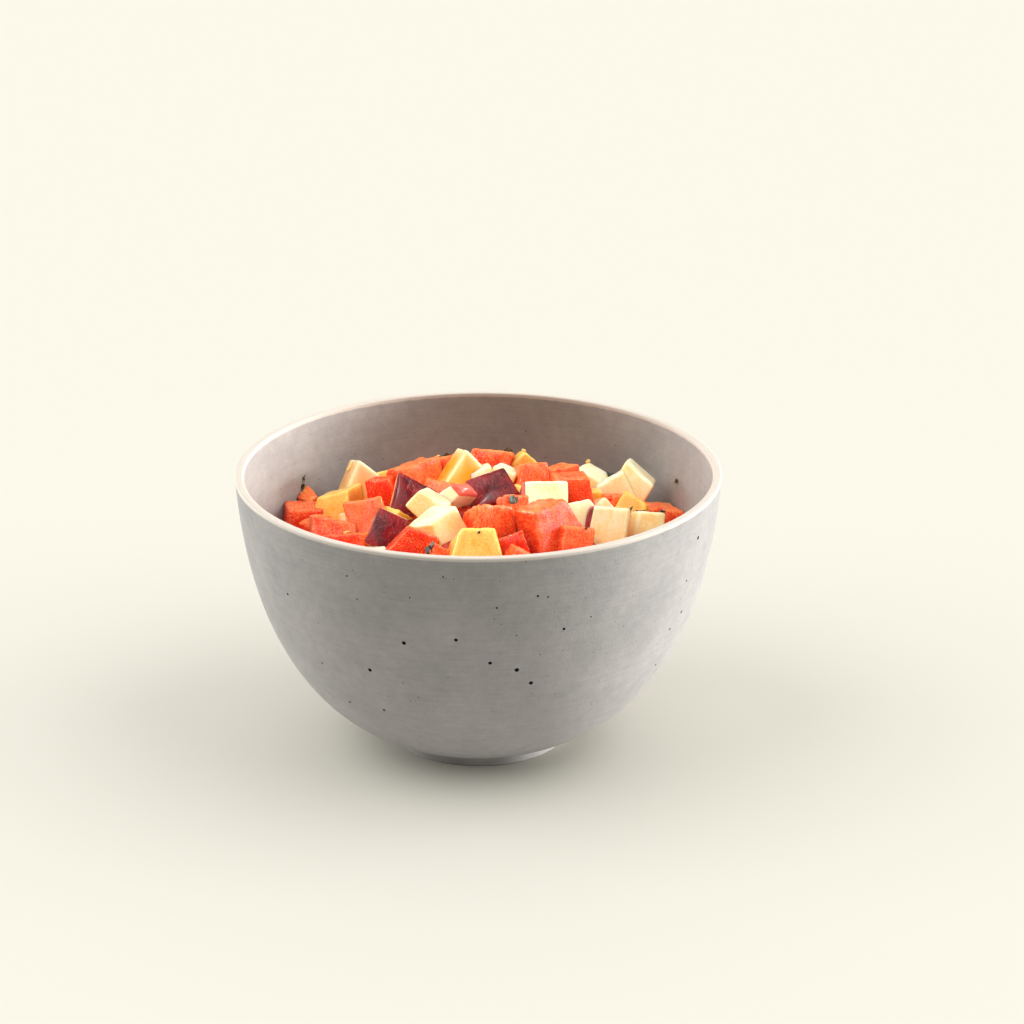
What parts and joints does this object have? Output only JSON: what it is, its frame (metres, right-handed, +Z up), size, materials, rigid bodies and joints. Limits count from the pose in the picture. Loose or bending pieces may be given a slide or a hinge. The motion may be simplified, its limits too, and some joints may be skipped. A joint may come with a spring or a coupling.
{
  "type": "fruit salad in a bowl",
  "caption": "Fruit salad of cut watermelon, melon and nectarine, heaped in a deep round bowl of cast concrete with a low foot.",
  "frame": {"origin": "centre of the bowl's foot, on the plane it stands on", "axes": "+Z up the bowl's axis; -Y towards the side the heap is arranged to be seen from, +X to the right of it"},
  "size_m": [0.24, 0.24, 0.1415],
  "materials": {
    "cast_concrete": "matt cast concrete with pinholes, its rim rubbed to a smooth pale beige",
    "cut_fruit": "wet, translucent cut fruit"
  },
  "bodies": {
    "root": {"bowl": "cast_concrete", "fruit_heap": "cut_fruit"}
  },
  "joints": []
}
